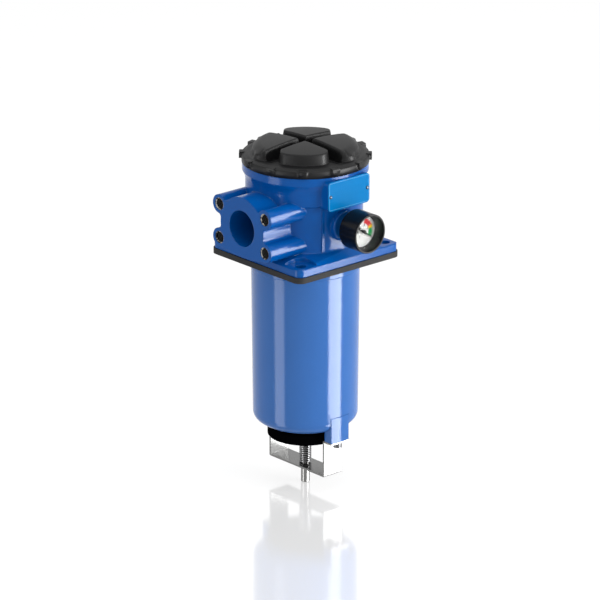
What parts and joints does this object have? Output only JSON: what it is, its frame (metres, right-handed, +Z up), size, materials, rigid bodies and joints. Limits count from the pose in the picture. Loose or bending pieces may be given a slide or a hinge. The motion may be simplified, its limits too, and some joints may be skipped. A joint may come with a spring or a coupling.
{
  "type": "suction filter",
  "caption": "Semi-submerged suction filter: blue cast head with screw lid, flanged outlet port and vacuum gauge over a bowl with a foot valve.",
  "frame": {"origin": "on the filter's axis, at the underside of the tank gasket", "axes": "+Z up along the filter's axis towards the lid, -X out of the outlet port, -Y towards the nameplate and the vacuum gauge"},
  "size_m": [0.1556, 0.1686, 0.3752],
  "materials": {
    "head_paint": "gloss saturated blue paint on an aluminium casting",
    "insert_steel": "bright steel thread insert",
    "gasket_rubber": "dark grey sealing sheet",
    "bowl_paint": "gloss lighter blue paint on an aluminium casting",
    "plate_paint": "light blue lacquered plate, blank",
    "rivet_aluminium": "bright rivet head",
    "gauge_brass": "turned brass connection",
    "gauge_black": "gloss black case",
    "dial_white": "white dial with coloured zones",
    "pointer_black": "matt black pointer",
    "gauge_window": "clear window",
    "bezel_black": "gloss black rolled ring with a bright worn edge",
    "lid_plastic": "satin black moulded plastic",
    "seal_rubber": "black seal rubber",
    "spring_steel": "spring wire",
    "cap_plastic": "moulded end cap",
    "media_paper": "pleated filter medium",
    "core_steel": "perforated tinned tube",
    "valve_plastic": "black valve disc",
    "stem_steel": "turned stainless rod",
    "bracket_steel": "bright stainless strip",
    "screw_steel": "blackened socket screw"
  },
  "bodies": {
    "housing": {"head": "head_paint", "thread_inserts": "insert_steel", "tank_gasket": "gasket_rubber", "bowl": "bowl_paint", "nameplate": "plate_paint", "nameplate_rivets": "rivet_aluminium", "gauge_stem": "gauge_brass", "gauge_case": "gauge_black", "gauge_dial": "dial_white", "gauge_lens": "gauge_window", "gauge_bezel": "bezel_black", "element_top_cap": "cap_plastic", "element_seal": "seal_rubber", "element_media": "media_paper", "element_core": "core_steel", "element_bottom_cap": "cap_plastic", "valve_bracket": "bracket_steel", "bracket_screws": "screw_steel", "hold_down_spring": "spring_steel", "valve_spring": "spring_steel"},
    "lid_lift": {"lid_o_ring": "seal_rubber"},
    "lid_turn": {"lid": "lid_plastic"},
    "pointer": {"gauge_pointer": "pointer_black"},
    "valve": {"valve_disc": "valve_plastic", "valve_seal": "seal_rubber", "valve_stem": "stem_steel"}
  },
  "joints": [
    {"name": "lid_lift", "type": "slide", "parent": "housing", "child": "lid_lift", "axis": [0, 0, 1], "range_m": [0, 0.01], "deforming": ["hold_down_spring"]},
    {"name": "lid_turn", "type": "hinge", "parent": "lid_lift", "child": "lid_turn", "pos_m": [0, 0, 0.1], "axis": [0, 0, 1], "range_deg": [0, 900]},
    {"name": "gauge_pointer_turn", "type": "hinge", "parent": "housing", "child": "pointer", "pos_m": [0, -0.09, 0.0465], "axis": [0, -1, 0], "range_deg": [0, 270]},
    {"name": "valve_slide", "type": "slide", "parent": "housing", "child": "valve", "axis": [0, 0, -1], "range_m": [0, 0.01], "stiffness_N_per_m": 900, "springref_m": -0.012, "deforming": ["valve_spring"]}
  ],
  "couplings": [
    {"joint": "lid_turn", "follows": "lid_lift", "rad_per_m": 1570.8}
  ]
}
